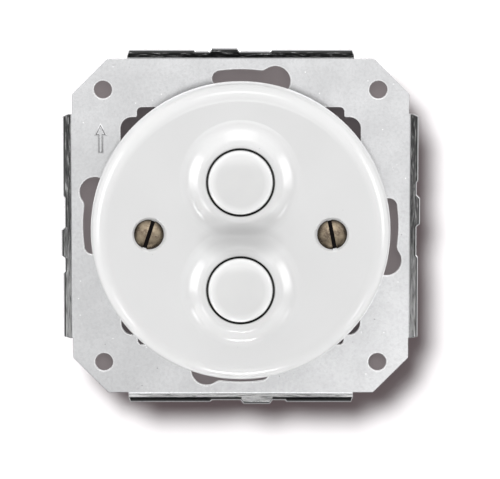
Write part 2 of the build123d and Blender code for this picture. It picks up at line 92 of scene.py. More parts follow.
class Lit(Enum):
    """What a soft box lights."""

    SWITCH = "every piece of the switch"
    COVER = "the cover, its buttons and its screws"
    BACK = "the plate and the block behind it"
    SHEET = "the backdrop sheet"


class RayKind(Enum):
    """Outputs of the Light Path node that the stage asks for."""

    CAMERA = "Is Camera Ray"
    GLOSSY = "Is Glossy Ray"
    TRANSMISSION = "Is Transmission Ray"


class NodeSketch:
    """A node tree that is drawn one node at a time.

    Attributes:
        MIX_INPUTS: Numbers of a Mix node's sockets for the factor and the two colours.
        MIX_RESULT: Number of its output for the mixed colour.
    """

    MIX_INPUTS = (0, 6, 7)
    MIX_RESULT = 2

    def __init__(self, tree: bpy.types.NodeTree) -> None:
        """Clears the tree.

        Args:
            tree: The node tree of a material or world.
        """
        self.tree = tree
        tree.nodes.clear()

    def add(self, kind: str, links: Optional[dict] = None, **settings: object) -> bpy.types.Node:
        """Adds a node.

        Args:
            kind: The node's type name.
            links: Socket name or number to either a value or an output socket.
            settings: Properties of the node itself.

        Returns:
            The new node.
        """
        node = self.tree.nodes.new(kind)
        for name, value in settings.items():
            setattr(node, name, value)
        for socket, value in (links or {}).items():
            if isinstance(value, Socket):
                self.tree.links.new(value, node.inputs[socket])
            else:
                node.inputs[socket].default_value = value
        return node

    def place(self, kind: Coordinates = Coordinates.OBJECT) -> Socket:
        """The socket that gives a point's place."""
        return self.add("ShaderNodeTexCoord").outputs[kind.value]

    def stretched(self, scale: Sequence[float]) -> Socket:
        """Object coordinates times factors along x, y and z."""
        links = {"Vector": self.place(), "Scale": scale}
        return self.add("ShaderNodeMapping", links).outputs["Vector"]

    def noise(self, grain: float, detail: float = 3.0, where: Optional[Socket] = None,
              rough: float = 0.5) -> Socket:
        """Soft noise whose patches are about this size.

        Args:
            grain: Size of a patch in millimetres.
            detail: Octaves.
            where: Coordinates, or None for the object's own.
            rough: Share of each finer octave.

        Returns:
            The noise's factor.
        """
        links = {"Vector": where or self.place(), "Scale": 1 / (grain * MM)}
        links.update({"Detail": detail, "Roughness": rough})
        return self.add("ShaderNodeTexNoise", links).outputs["Fac"]

    def cells(self, grain: float) -> Socket:
        """Distance to the nearest of scattered points about this far apart in millimetres."""
        links = {"Vector": self.place(), "Scale": 1 / (grain * MM)}
        return self.add("ShaderNodeTexVoronoi", links).outputs["Distance"]

    def ramp(self, factor: Socket, stops: Sequence[tuple[float, Colour]]) -> Socket:
        """Colour looked up along a ramp.

        Args:
            factor: Where on the ramp.
            stops: Places and linear colours.

        Returns:
            The colour.
        """
        node = self.add("ShaderNodeValToRGB", {"Fac": factor})
        marks = node.color_ramp.elements
        while len(marks) < len(stops):
            marks.new(1.0)
        for mark, (place, colour) in zip(marks, stops):
            mark.position = place
            mark.color = (*colour, 1.0)
        return node.outputs["Color"]

    def remap(self, factor: Socket, low: float, high: float, start: float = 0.0, end: float = 1.0,
              smooth: bool = False) -> Socket:
        """Stretches the range start to end over low to high, in a straight line or an S curve.

        Args:
            factor: The value.
            low: The result at start.
            high: The result at end.
            start: Where the range begins.
            end: Where the range ends.
            smooth: Whether it follows an S curve.

        Returns:
            The result, which stays between low and high.
        """
        links = {"Value": factor, "From Min": start, "From Max": end, "To Min": low, "To Max": high}
        kind = "SMOOTHSTEP" if smooth else "LINEAR"
        return self.add("ShaderNodeMapRange", links, interpolation_type=kind).outputs["Result"]

    def math(self, operation: str, first: object, second: object = 0.0) -> Socket:
        """One operation on one or two values or sockets."""
        return self.add("ShaderNodeMath", {0: first, 1: second}, operation=operation).outputs[0]

    def product(self, *factors: object) -> Socket:
        """Values or sockets multiplied with each other."""
        return reduce(lambda first, second: self.math("MULTIPLY", first, second), factors)

    def inverse(self, share: Socket) -> Socket:
        """What is left of 1 when a share is taken off."""
        return self.math("SUBTRACT", 1.0, share)

    def distance(self, first: Socket, second: Socket) -> Socket:
        """The root of the sum of two squares."""
        return self.math("SQRT", self.math("ADD", self.product(first, first), self.product(second, second)))

    def blend(self, factor: Socket, first: object, second: object) -> Socket:
        """Mixes two colours.

        Args:
            factor: Share of the second colour.
            first: A linear colour or an output socket.
            second: A linear colour or an output socket.

        Returns:
            The mixed colour.
        """
        node = self.add("ShaderNodeMix", data_type="RGBA")
        for number, value in zip(self.MIX_INPUTS, (factor, first, second)):
            if isinstance(value, Socket):
                self.tree.links.new(value, node.inputs[number])
            else:
                node.inputs[number].default_value = (*value, 1.0)
        return node.outputs[self.MIX_RESULT]

    def axes(self) -> bpy.types.NodeOutputs:
        """The object coordinates as separate X, Y and Z sockets."""
        return self.add("ShaderNodeSeparateXYZ", {"Vector": self.place()}).outputs

    def reach(self, far: Socket, near: float, full: float) -> Socket:
        """0 where a distance is at or under near, 1 at or over full, both in millimetres."""
        return self.remap(far, 0.0, 1.0, near * MM, full * MM)

    def from_axis(self, offset: float) -> Socket:
        """Distance from the nearer button's axis: the root of x squared and (|z| - offset) squared.

        Args:
            offset: Distance of each axis from the middle in millimetres.

        Returns:
            The distance.
        """
        axes = self.axes()
        along = self.math("SUBTRACT", self.math("ABSOLUTE", axes["Z"]), offset * MM)
        return self.distance(axes["X"], along)

    def rounded(self, radius: float) -> Socket:
        """A shading normal that rounds sharp edges off by this radius in millimetres."""
        return self.add("ShaderNodeBevel", {"Radius": radius * MM}, samples=4).outputs["Normal"]

    def bump(self, height: Socket, depth: float, strength: float = 1.0,
             under: Optional[Socket] = None) -> Socket:
        """Turns a height into a shading normal.

        Args:
            height: Height from 0 to 1.
            depth: Depth of a full step in millimetres.
            strength: How much of it shows.
            under: A normal to build on.

        Returns:
            The normal.
        """
        links = {"Height": height, "Distance": depth * MM, "Strength": strength}
        if under is not None:
            links["Normal"] = under
        return self.add("ShaderNodeBump", links).outputs["Normal"]


def new_material(name: str) -> tuple[bpy.types.Material, NodeSketch]:
    """An empty material and the sketch of its nodes.

    Args:
        name: Name of the material.

    Returns:
        The material and the sketch.
    """
    made = bpy.data.materials.new(name)
    made.use_nodes = True
    return made, NodeSketch(made.node_tree)


@dataclass(frozen=True)
class Specks:
    """Small spots at scattered points.

    Attributes:
        apart: About how far apart they lie in millimetres.
        fade: Distances from a spot's middle, as shares of that, between which it fades out.
        weight: How strongly it shows.
        colour: Its linear colour.
    """

    apart: float
    fade: Pair
    weight: float
    colour: Colour

    def strewn(self, sketch: NodeSketch, under: Socket) -> Socket:
        """The colour under them with the spots on it."""
        spots = sketch.remap(sketch.cells(self.apart), self.weight, 0.0, *self.fade)
        return sketch.blend(spots, under, self.colour)


@dataclass(frozen=True)
class Finish:
    """A finish with colour patches, a fine grain and a slightly uneven gloss.

    Attributes:
        name: Name of the material.
        dark: Linear colour of the darker patches.
        light: Linear colour of the lighter patches.
        patch: Size of a patch in millimetres.
        metallic: 1 for bare metal.
        gloss: Lowest and highest roughness.
        grain: Size of the surface grain in millimetres.
        depth: Depth of the grain in millimetres.
        edge: Radius of worn or rolled edges in millimetres.
        spread: Values of the noise at which a patch is fully dark and fully light.
        dulled: Values of the noise at which the roughness is lowest and highest.
    """

    name: str
    dark: Colour
    light: Colour
    patch: float
    metallic: float
    gloss: Pair
    grain: float
    depth: float
    edge: float = 0.0
    spread: Pair = (0.32, 0.68)
    dulled: Pair = (0.3, 0.7)

    def material(self) -> bpy.types.Material:
        """Builds the material: noise drives the colour and the gloss, finer noise the bump.

        Returns:
            The material.
        """
        made, sketch = new_material(self.name)
        patches = sketch.noise(self.patch, detail=4.0)
        fine = sketch.noise(self.grain)
        shader = sketch.add("ShaderNodeBsdfPrincipled", {
            "Base Color": self.colour(sketch, patches, fine),
            "Metallic": self.metallic,
            "Roughness": sketch.remap(patches, *self.gloss, *self.dulled),
            "Normal": self.relief(sketch, fine),
        })
        sketch.add("ShaderNodeOutputMaterial", {"Surface": shader.outputs[0]})
        return made

    def colour(self, sketch: NodeSketch, patches: Socket, fine: Socket) -> Socket:
        """The base colour, from dark to light patches."""
        return sketch.ramp(patches, list(zip(self.spread, (self.dark, self.light))))

    def relief(self, sketch: NodeSketch, fine: Socket) -> Socket:
        """The surface grain as a shading normal, over rounded edges."""
        return sketch.bump(fine, self.depth, 1.0, sketch.rounded(self.edge) if self.edge else None)


@dataclass(frozen=True)
class GlazeFinish(Finish):
    """White glaze: very slow waves, a faint tone in the body and a few pinholes.

    Attributes:
        bore_offset: Distance of each button's axis from the middle in millimetres.
        bore_radius: Radius inside which the bore's wall lies.
        bore_mouth: Height from the wall at which painted shade in the bore begins.
        bore_fade: Distances over which that painted shade sets in, outwards and down.
        shaded_dip: Half width, half height and centre of the dip between the collars.
        painted_dip_shade: Linear colour of the painted shade in the middle of that dip.
        specks: Pinholes.
        wave: Length and depth of the slow waves.
    """

    spread: Pair = (0.3, 0.7)
    bore_offset: float = 10.7
    bore_radius: float = 6.86
    bore_mouth: float = 16.55
    bore_fade: Pair = (0.12, 0.3)
    shaded_dip: Triple = (9.5, 4.4, -1.3)
    painted_dip_shade: Colour = (0.61, 0.61, 0.61)
    specks: Specks = Specks(4.6, (0.022, 0.036), 0.35, (0.42, 0.40, 0.38))
    wave: Pair = (6.0, 0.05)

    def colour(self, sketch: NodeSketch, patches: Socket, fine: Socket) -> Socket:
        """White with a faint tone and rare pinholes, with painted shade in the dip and in the bores.

        Args:
            sketch: The material's tree.
            patches: Slow noise.
            fine: Fine noise.

        Returns:
            The colour.
        """
        specked = self.specks.strewn(sketch, super().colour(sketch, patches, fine))
        # painted shade in the dip between the two collars
        painted_dip_shade = sketch.blend(self.waist_shade(sketch), specked, self.painted_dip_shade)
        # painted shade on the walls of the button bores
        return sketch.blend(self.bore(sketch), painted_dip_shade, PAINTED_BORE_SHADE)

    def waist_shade(self, sketch: NodeSketch) -> Socket:
        """1 in the middle of the dip between the collars, where grey shade is painted, 0 outside.

        It is 1 - (x / half width) squared - ((z - centre) / half height) squared, smoothed and never below 0.

        Args:
            sketch: The material's tree.

        Returns:
            The share.
        """
        axes = sketch.axes()
        wide, high, centre = (size * MM for size in self.shaded_dip)
        shares = [sketch.math("DIVIDE", axes["X"], wide),
                  sketch.math("DIVIDE", sketch.math("SUBTRACT", axes["Z"], centre), high)]
        squares = [sketch.product(share, share) for share in shares]
        left = sketch.math("SUBTRACT", sketch.inverse(squares[0]), squares[1])
        return sketch.remap(sketch.math("MAXIMUM", left, 0.0), 0.0, 1.0, smooth=True)

    def bore(self, sketch: NodeSketch) -> Socket:
        """1 on the walls of the two button bores, where shade is painted dark, and 0 elsewhere.

        Args:
            sketch: The material's tree.

        Returns:
            The share.
        """
        outwards, down = self.bore_fade
        far = sketch.from_axis(self.bore_offset)
        past = sketch.reach(far, self.bore_radius, self.bore_radius + outwards)
        deep = sketch.reach(sketch.axes()["Y"], -self.bore_mouth, down - self.bore_mouth)
        return sketch.product(sketch.inverse(past), deep)

    def relief(self, sketch: NodeSketch, fine: Socket) -> Socket:
        """Fine orange peel over the slow waves of the glaze."""
        waves = sketch.bump(sketch.noise(self.wave[0], detail=1.0), self.wave[1], strength=0.5)
        return sketch.bump(fine, self.depth, strength=0.6, under=waves)


@dataclass(frozen=True)
class ButtonFinish(Finish):
    """Smooth white moulding with a painted highlight on its rim and painted shade on its side, down in the
    bore.

    Attributes:
        offset: Distance of each button's axis from the middle in millimetres.
        rim: Radii between which the painted highlight on the rim sets in.
        painted_rim_highlight: Linear colour of the painted highlight on the rim.
        side_top: Height from the wall under which painted shade darkens the side.
        side_fade: Distance over which it darkens.
    """

    spread: Pair = (0.3, 0.7)
    offset: float = 10.7
    rim: Pair = (4.6, 6.0)
    painted_rim_highlight: Colour = (0.93, 0.93, 0.93)
    side_top: float = 16.5
    side_fade: float = 0.35

    def colour(self, sketch: NodeSketch, patches: Socket, fine: Socket) -> Socket:
        """White on top, with a painted highlight at the rim and painted shade down the side.

        Args:
            sketch: The material's tree.
            patches: Slow noise.
            fine: Fine noise.

        Returns:
            The colour.
        """
        top = super().colour(sketch, patches, fine)
        rim = sketch.reach(sketch.from_axis(self.offset), *self.rim)
        deep = sketch.reach(sketch.axes()["Y"], -self.side_top, self.side_fade - self.side_top)
        # painted highlight on the rim and painted shade down the side in the bore
        return sketch.blend(deep, sketch.blend(rim, top, self.painted_rim_highlight), PAINTED_BORE_SHADE)


@dataclass(frozen=True)
class ZincFinish(Finish):
    """Satin zinc on rolled steel: soft clouds, specks, dents, a painted highlight along the punched edges and
    painted shade on the flanges.

    Attributes:
        rim: Width of the painted highlight round the openings in millimetres.
        lean: How far the rounded normal agrees with the true one where that edge is full and where it ends.
        painted_highlight: Linear colour of that painted highlight and of the pale painted streaks on the
            flanges.
        mottle: Size of the fine mottle, its weight and how dark it is against the clouds.
        mottled: Values of the noise between which the mottle sets in.
        dark_specks: Dirt.
        pale_specks: Bare spots.
        outline: How far the punched edges reach from the middle: to a side, and |x| + |z| at a cut corner.
        outline_fade: Distance over which the painted highlight ends there.
        root: Where a flange's face leaves the bend: distance from the middle and height from the wall.
        flare: Angle of the flange to the plate in degrees.
        bend: Distance past the bend over which a flange's own tone sets in.
        skin: Depths below a flange's face between which the face's tone ends.
        cut: Depths between which the painted dark line along its cut edge ends.
        painted_flange_tones: Linear tones of the painted shade on the flanges' faces at the bottom, at the
            sides and at the top.
        painted_flange_places: Where those tones are full, from the lowest point (0) to the highest (1).
        streak: Length of a streak on the flanges, and how many times its width that is.
        streak_weight: How strongly the streaks show.
        streaks: Values of the noise between which dark streaks set in, and between which pale ones end.
        painted_shade_tone: Linear colour of the dark streaks in the flanges' painted shade and of the painted
            dark line along the cut edge.
        hem: Distances from the bend between which painted shade darkens the bottom flange.
        painted_hem_shade: Linear colour of that painted shade.
        tab: Middle and half width of the bottom flange's tab, and the width over which the hem sets in.
        rolling: Width of the rolling lines, their share along x, their depth and their weight.
        dents: Distance apart of the dents, where one ends, their depth and their weight.
    """

    spread: Pair = (0.3, 0.7)
    rim: float = 0.6
    lean: Pair = (0.85, 0.985)
    painted_highlight: Colour = (0.92, 0.92, 0.92)
    mottle: Triple = (0.5, 0.55, 0.86)
    mottled: Pair = (0.42, 0.72)
    dark_specks: Specks = Specks(2.9, (0.03, 0.055), 0.6, (0.2, 0.195, 0.2))
    pale_specks: Specks = Specks(2.3, (0.03, 0.06), 1.0, (0.92, 0.92, 0.92))
    outline: Pair = (33.0, 59.4)
    outline_fade: float = 0.1
    root: Pair = (33.96, 0.89)
    flare: float = 40.0
    bend: float = 0.12
    skin: Pair = (0.02, 0.06)
    cut: Pair = (0.42, 0.52)
    painted_flange_tones: Triple = (0.92, 0.27, 0.05)
    painted_flange_places: Triple = (0.05, 0.5, 0.95)
    streak: Pair = (2.8, 10.0)
    streak_weight: float = 0.75
    streaks: tuple[Pair, Pair] = ((0.50, 0.66), (0.34, 0.44))
    painted_shade_tone: Colour = (0.03, 0.03, 0.03)
    hem: Pair = (0.72, 0.80)
    painted_hem_shade: Colour = (0.02, 0.02, 0.02)
    tab: Triple = (3.3, 3.0, 0.2)
    rolling: tuple[float, float, float, float] = (0.5, 0.06, 0.003, 0.5)
    dents: tuple[float, Pair, float, float] = (3.9, (0.02, 0.07), 0.015, 0.7)

    def colour(self, sketch: NodeSketch, patches: Socket, fine: Socket) -> Socket:
        """Soft clouds and a finer mottle of grey, a few dark and pale specks, a painted highlight along the
        punched edges and painted shade on the flanges.

        Args:
            sketch: The material's tree.
            patches: Slow noise.
            fine: Fine noise.

        Returns:
            The colour.
        """
        clouds = super().colour(sketch, patches, fine)
        size, weight, shade = self.mottle
        mottle = sketch.remap(sketch.noise(size, rough=0.7), 0.0, weight, *self.mottled)
        mottled = sketch.blend(mottle, clouds, [shade * tone for tone in self.dark])
        specked = self.pale_specks.strewn(sketch, self.dark_specks.strewn(sketch, mottled))
        # painted highlight along the edges of the openings
        return self.flanged(sketch, sketch.blend(self.punched(sketch), specked, self.painted_highlight))

    def punched(self, sketch: NodeSketch) -> Socket:
        """1 along the edges of the openings, where a highlight is painted, and 0 elsewhere, from how the
        rounded normal leans.

        Args:
            sketch: The material's tree.

        Returns:
            The share.
        """
        true = sketch.add("ShaderNodeNewGeometry").outputs["Normal"]
        links = {0: sketch.rounded(self.rim), 1: true}
        lean = sketch.add("ShaderNodeVectorMath", links, operation="DOT_PRODUCT").outputs["Value"]
        share = sketch.remap(lean, 1.0, 0.0, *self.lean)
        sides = self.from_middle(sketch)
        for reach, operation in zip(self.outline, ("MAXIMUM", "ADD")):
            past = sketch.reach(sketch.math(operation, *sides), reach - self.outline_fade, reach)
            share = sketch.product(share, sketch.inverse(past))
        return share

    def from_middle(self, sketch: NodeSketch) -> tuple[Socket, Socket]:
        """How far a point lies from the plate's middle: |x| and |z|."""
        axes = sketch.axes()
        return sketch.math("ABSOLUTE", axes["X"]), sketch.math("ABSOLUTE", axes["Z"])

    def flanged(self, sketch: NodeSketch, sheet: Socket) -> Socket:
        """Painted shade on the flanges' faces, darkest at the top, with a painted dark line along their cut
        edge.

        With r the larger of |x| and |z| and h the height from the wall, measured from the root, a point lies
        r cos f + h sin f along the flange and r sin f - h cos f below its face, f being the flare.

        Args:
            sketch: The material's tree.
            sheet: Colour of the flat plate.

        Returns:
            The colour.
        """
        axes = sketch.axes()
        root_out, root_high = (size * MM for size in self.root)
        out = sketch.math("SUBTRACT", sketch.math("MAXIMUM", *self.from_middle(sketch)), root_out)
        high = sketch.math("SUBTRACT", sketch.product(axes["Y"], -1.0), root_high)
        slope, rise = cos(radians(self.flare)), sin(radians(self.flare))
        out_slope, out_rise = (sketch.product(out, factor) for factor in (slope, rise))
        high_slope, high_rise = (sketch.product(high, factor) for factor in (slope, rise))
        along = sketch.math("ADD", out_slope, high_rise)
        below = sketch.math("SUBTRACT", out_rise, high_slope)
        past_bend = sketch.reach(along, 0.0, self.bend)
        under = sketch.reach(below, *self.skin)
        face = sketch.inverse(under)
        edge = sketch.math("SUBTRACT", under, sketch.reach(below, *self.cut))
        place = sketch.remap(axes["Z"], 0.0, 1.0, -root_out, root_out)
        tones = [(share, (tone,) * 3) for share, tone in zip(self.painted_flange_places, self.painted_flange_tones)]
        streaked = self.streaked(sketch, sketch.ramp(place, tones), along)
        # painted shade on the flanges' faces, darkest at the top
        painted_flange = sketch.blend(sketch.product(face, past_bend), sheet, streaked)
        # painted dark line along the flanges' cut edge
        return sketch.blend(sketch.product(edge, past_bend), painted_flange, self.painted_shade_tone)

    def streaked(self, sketch: NodeSketch, tone: Socket, along: Socket) -> Socket:
        """Dark and pale streaks in the painted shade that runs the length of a flange, and the painted dark
        hem of the bottom one.

        They are noise on x + z and on the distance from the bend times a streak's length over its width.

        Args:
            sketch: The material's tree.
            tone: Colour of the flange.
            along: Distance from the bend.

        Returns:
            The colour.
        """
        axes = sketch.axes()
        length, times = self.streak
        links = {"X": sketch.product(along, times), "Y": sketch.math("ADD", axes["X"], axes["Z"])}
        streaks = sketch.noise(length, where=sketch.add("ShaderNodeCombineXYZ", links).outputs["Vector"])
        dark = sketch.remap(streaks, 0.0, self.streak_weight, *self.streaks[0])
        pale = sketch.remap(streaks, self.streak_weight, 0.0, *self.streaks[1])
        streaked = sketch.blend(pale, sketch.blend(dark, tone, self.painted_shade_tone), self.painted_highlight)
        # painted dark hem on the bottom flange
        return sketch.blend(self.hemmed(sketch, along), streaked, self.painted_hem_shade)

    def hemmed(self, sketch: NodeSketch, along: Socket) -> Socket:
        """1 on the outer strip of the bottom flange, either side of its tab, where a dark hem is painted, and
        0 elsewhere.

        Args:
            sketch: The material's tree.
            along: Distance from the bend.

        Returns:
            The share.
        """
        axes = sketch.axes()
        middle, half, fade = self.tab
        off_tab = sketch.math("ABSOLUTE", sketch.math("SUBTRACT", axes["X"], middle * MM))
        beside = sketch.reach(off_tab, half, half + fade)
        low = sketch.inverse(sketch.reach(axes["Z"], -self.root[0], -self.outline[0]))
        return sketch.product(sketch.reach(along, *self.hem), beside, low)

    def relief(self, sketch: NodeSketch, fine: Socket) -> Socket:
        """Rolling lines, a crystalline grain and shallow dents.

        Args:
            sketch: The material's tree.
            fine: Fine noise.

        Returns:
            The normal.
        """
        width, share, depth, weight = self.rolling
        lines = sketch.noise(width, detail=2.0, where=sketch.stretched((share, 1.0, 1.0)))
        rolled = sketch.bump(lines, depth, weight, sketch.rounded(self.edge))
        grained = sketch.bump(fine, self.depth, strength=0.7, under=rolled)
        apart, end, depth, weight = self.dents
        return sketch.bump(sketch.remap(sketch.cells(apart), 0.0, 1.0, *end), depth, weight, grained)


@dataclass(frozen=True)
class StampFinish(ZincFinish):
    """The plate's zinc where a line is stamped into it, with painted shade along the bottom of the groove.

    Attributes:
        bottom: Linear colour of the painted shade at the groove's bottom.
    """

    bottom: Colour = (0.09, 0.088, 0.09)

    def colour(self, sketch: NodeSketch, patches: Socket, fine: Socket) -> Socket:
        """The plate's colour, with painted shade from the piece's own groove attribute."""
        groove = sketch.add("ShaderNodeAttribute", attribute_name="groove").outputs["Fac"]
        # painted shade along the groove's bottom
        return sketch.blend(groove, super().colour(sketch, patches, fine), self.bottom)


@dataclass(frozen=True)
class AgedBrassFinish(Finish):
    """Brass under a brown patina, rubbed through in small places, with painted shade in the slot and round
    the rim.

    Attributes:
        floor: Height of the slot's floor from the wall, in millimetres.
        offset: Distance of each screw's axis from the middle.
        rim: Radii between which painted shade darkens the head's rim.
        rubbed: Linear colour of the rubbed spots.
        rubbed_share: Values of the noise between which a spot sets in.
        rubbed_weight: How strongly it shows.
        painted_rim_shade: Linear colour of the painted shade round the rim.
        painted_slot_shade: Linear colour of the painted shade in the slot.
        slot_fade: Distance above the floor over which the slot darkens.
    """

    spread: Pair = (0.34, 0.66)
    floor: float = 13.08
    offset: float = 18.1
    rim: Pair = (2.2, 3.1)
    rubbed: Colour = (0.46, 0.39, 0.29)
    rubbed_share: Pair = (0.48, 0.72)
    rubbed_weight: float = 0.5
    painted_rim_shade: Colour = (0.03, 0.026, 0.024)
    painted_slot_shade: Colour = (0.008, 0.007, 0.007)
    slot_fade: float = 0.3

    def colour(self, sketch: NodeSketch, patches: Socket, fine: Socket) -> Socket:
        """Brown patina with paler rubbed spots, painted shade round the rim and in the slot.

        Args:
            sketch: The material's tree.
            patches: Slow noise.
            fine: Fine noise.

        Returns:
            The colour.
        """
        rubbed = sketch.remap(fine, 0.0, self.rubbed_weight, *self.rubbed_share)
        worn = sketch.blend(rubbed, super().colour(sketch, patches, fine), self.rubbed)
        axes = sketch.axes()
        across = sketch.math("SUBTRACT", sketch.math("ABSOLUTE", axes["X"]), self.offset * MM)
        round_rim = sketch.reach(sketch.distance(across, axes["Z"]), *self.rim)
        deep = sketch.reach(axes["Y"], -self.floor - self.slot_fade, -self.floor)
        # painted shade round the head's rim and in the slot
        return sketch.blend(deep, sketch.blend(round_rim, worn, self.painted_rim_shade), self.painted_slot_shade)


class Finishes:
    """All the finishes of the switch.

    Attributes:
        TABLE: One finish for each material slot of the record.
        STAMP: The plate's finish where the arrow is stamped.
    """

    TABLE: dict[str, Finish] = {
        "porcelain": GlazeFinish("porcelain_glaze", (0.80, 0.80, 0.80), (0.83, 0.83, 0.83), 22.0, 0.0,
                                 (0.08, 0.12), 0.8, 0.0012),
        "white_button": ButtonFinish("button_white", (0.78, 0.78, 0.78), (0.81, 0.81, 0.805), 6.0, 0.0,
                                     (0.06, 0.10), 0.35, 0.001),
        "zinc_plate": ZincFinish("satin_zinc", (0.59, 0.592, 0.60), (0.64, 0.642, 0.65), 9.0, 1.0,
                                 (0.17, 0.25), 0.12, 0.003, edge=0.2),
        "aged_brass": AgedBrassFinish("aged_brass", (0.15, 0.115, 0.085), (0.36, 0.295, 0.21), 1.5, 1.0,
                                      (0.24, 0.36), 0.35, 0.01),
        "dark_moulding": Finish("dark_moulding", (0.036, 0.032, 0.033), (0.052, 0.047, 0.048), 5.0, 0.0,
                                (0.42, 0.56), 0.18, 0.008, edge=0.2),
        "plunger_nylon": Finish("plunger_nylon", (0.55, 0.53, 0.47), (0.64, 0.62, 0.57), 3.0, 0.0,
                                (0.36, 0.48), 0.2, 0.004, edge=0.15),
        "brass": Finish("satin_brass", (0.58, 0.40, 0.16), (0.74, 0.56, 0.28), 2.5, 1.0,
                        (0.26, 0.40), 0.15, 0.006, edge=0.1),
        "contact_silver": Finish("contact_silver", (0.70, 0.69, 0.66), (0.84, 0.83, 0.80), 1.0, 1.0,
                                 (0.20, 0.32), 0.1, 0.003, edge=0.1),
        "spring_steel": Finish("spring_steel", (0.36, 0.36, 0.37), (0.52, 0.52, 0.53), 1.2, 1.0,
                               (0.24, 0.36), 0.1, 0.004),
        "plated_screw": Finish("plated_screw", (0.54, 0.53, 0.48), (0.68, 0.67, 0.62), 1.6, 1.0,
                               (0.26, 0.38), 0.12, 0.005, edge=0.1),
    }
    STAMP = StampFinish("stamped_zinc", (0.59, 0.592, 0.60), (0.64, 0.642, 0.65), 9.0, 1.0,
                        (0.17, 0.25), 0.12, 0.003, edge=0.02, rim=0.02)

    def __init__(self) -> None:
        """Builds every material once and notes the slot that the record names for each node."""
        self.made = {slot: finish.material() for slot, finish in self.TABLE.items()}
        self.slots = {entry["node"]: entry["material_slot"] for entry in frame["record"]["subparts"]}

    def dress(self, piece: bpy.types.Object, material: bpy.types.Material) -> None:
        """Gives a piece or CAD node one material."""
        piece.data.materials.clear()
        piece.data.materials.append(material)

    def dress_nodes(self, nodes: Sequence[str]) -> None:
        """Dresses CAD nodes by their slots.

        Args:
            nodes: Names of the nodes.
        """
        for node in nodes:
            self.dress(frame["nodes"][node], self.made[self.slots[node]])
            LOG.info("dressed %s as %s", node, self.slots[node])


def skinned(name: str, points: np.ndarray, looped: bool) -> bpy.types.Object:
    """A closed skin over a grid of points.

    Quad (i, j) joins the points (i, j), (i + 1, j), (i + 1, j + 1) and (i, j + 1). The columns wrap round.

    Args:
        name: Name of the piece.
        points: Rows along a path, columns round its section, each with x, y and z in metres.
        looped: Whether the last row joins the first. If not, each end gets a flat cap.

    Returns:
        The piece.
    """
    rows, columns = points.shape[:2]
    i, j = np.meshgrid(np.arange(rows if looped else rows - 1), np.arange(columns), indexing="ij")
    ahead, beside = (i + 1) % rows * columns, (j + 1) % columns
    quads = np.stack([i * columns + j, ahead + j, ahead + beside, i * columns + beside], axis=-1)
    ring = np.arange(columns)
    caps = [] if looped else [ring.tolist(), (ring[::-1] + (rows - 1) * columns).tolist()]
    mesh = bpy.data.meshes.new(name)
    mesh.from_pydata(points.reshape(-1, 3).tolist(), [], quads.reshape(-1, 4).tolist() + caps)
    mesh.shade_smooth()
    return placed(name, mesh)


def carried(name: str, path: np.ndarray, profile: np.ndarray, face: float) -> bpy.types.Object:
    """A closed profile carried round a closed flat path that lies on a face towards the front.

    With p(i) the path's corners, m(i) the mitred direction across the path and (a, b)(j) the profile,
    the surface is x and z = p(i) + a(j) m(i), and y = -(face + b(j)).

    Args:
        name: Name of the piece.
        path: Corners as rows of x and z in millimetres, clockwise as seen from the front.
        profile: Rows of how far across the path and how far proud of the face, in millimetres.
        face: Height of the face from the wall in millimetres.

    Returns:
        The piece.
    """
    runs = np.roll(path, -1, axis=0) - path
    runs = runs / np.linalg.norm(runs, axis=1, keepdims=True)
    across = np.stack([-runs[:, 1], runs[:, 0]], axis=1)
    before = np.roll(across, 1, axis=0)
    mitre = (across + before) / (1 + (across * before).sum(axis=1, keepdims=True))
    flat = path[:, None, :] + mitre[:, None, :] * profile[None, :, :1]
    proud = np.broadcast_to(-(face + profile[:, 1]), flat.shape[:2])
    points = np.stack([flat[..., 0], proud, flat[..., 1]], axis=-1) * MM
    return skinned(name, points, looped=True)


